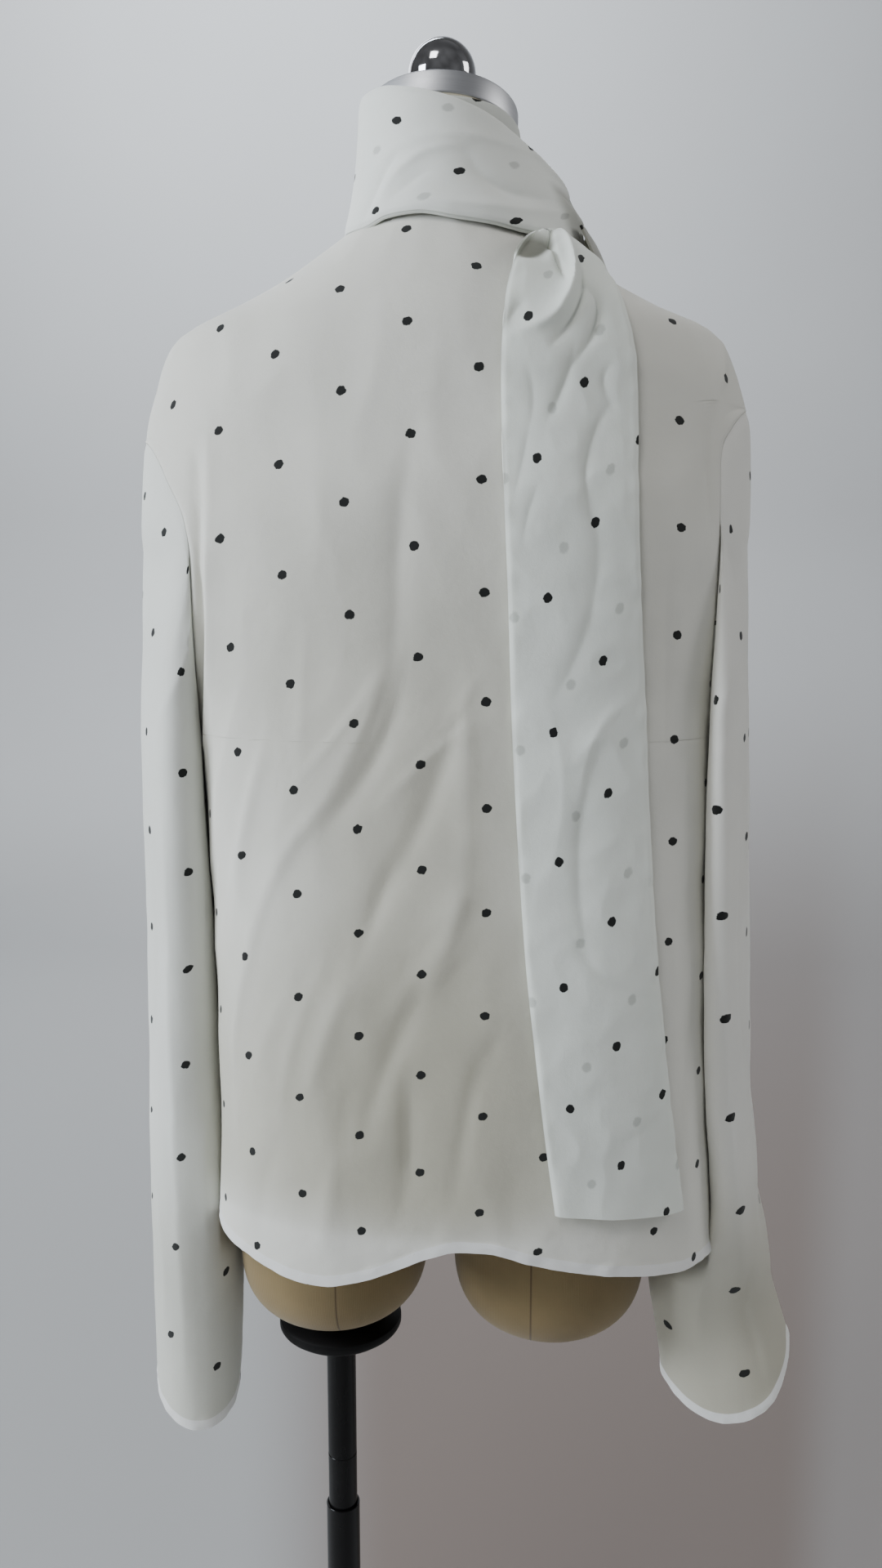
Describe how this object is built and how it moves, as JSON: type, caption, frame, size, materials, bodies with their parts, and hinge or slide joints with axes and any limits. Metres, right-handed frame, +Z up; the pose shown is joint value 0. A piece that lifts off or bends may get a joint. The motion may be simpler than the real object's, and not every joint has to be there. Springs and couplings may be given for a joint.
{
  "type": "long-sleeved blouse with a scarf collar on a limbless dress form and stand",
  "caption": "Polka-dot crepe blouse with a wrapped scarf collar and one scarf end down the back, dressed on a half-body dress form on a pole stand.",
  "frame": {"origin": "on the floor, on the underside of the stand's base plate, straight below the middle of the neck", "axes": "+Z up; the blouse's front faces -Y, its back faces +Y, and the wearer's left is +X"},
  "size_m": [0.5372, 0.41, 1.5616],
  "materials": {
    "ivory_crepe": "matte ivory crepe with small black dots, one layer",
    "ivory_crepe_double": "matte ivory crepe with small black dots, folded double",
    "beige_jersey": "tight beige jersey cover",
    "brushed_steel": "lathe-brushed steel",
    "polished_chrome": "polished chrome",
    "black_enamel": "gloss black enamel"
  },
  "bodies": {
    "stand": {"base_plate": "black_enamel", "pole_lower": "black_enamel"},
    "form": {"pole_upper": "black_enamel", "thigh_flange": "black_enamel", "form_torso": "beige_jersey", "neck_plate": "brushed_steel", "neck_knob": "polished_chrome", "back": "ivory_crepe", "front": "ivory_crepe", "sleeve_left": "ivory_crepe", "sleeve_right": "ivory_crepe", "scarf_wrap": "ivory_crepe_double", "scarf_cowl": "ivory_crepe_double", "scarf_tail": "ivory_crepe_double"}
  },
  "joints": [
    {"name": "pole_height", "type": "slide", "parent": "stand", "child": "form", "axis": [0, 0, 1], "range_m": [-0.08, 0.2]}
  ]
}
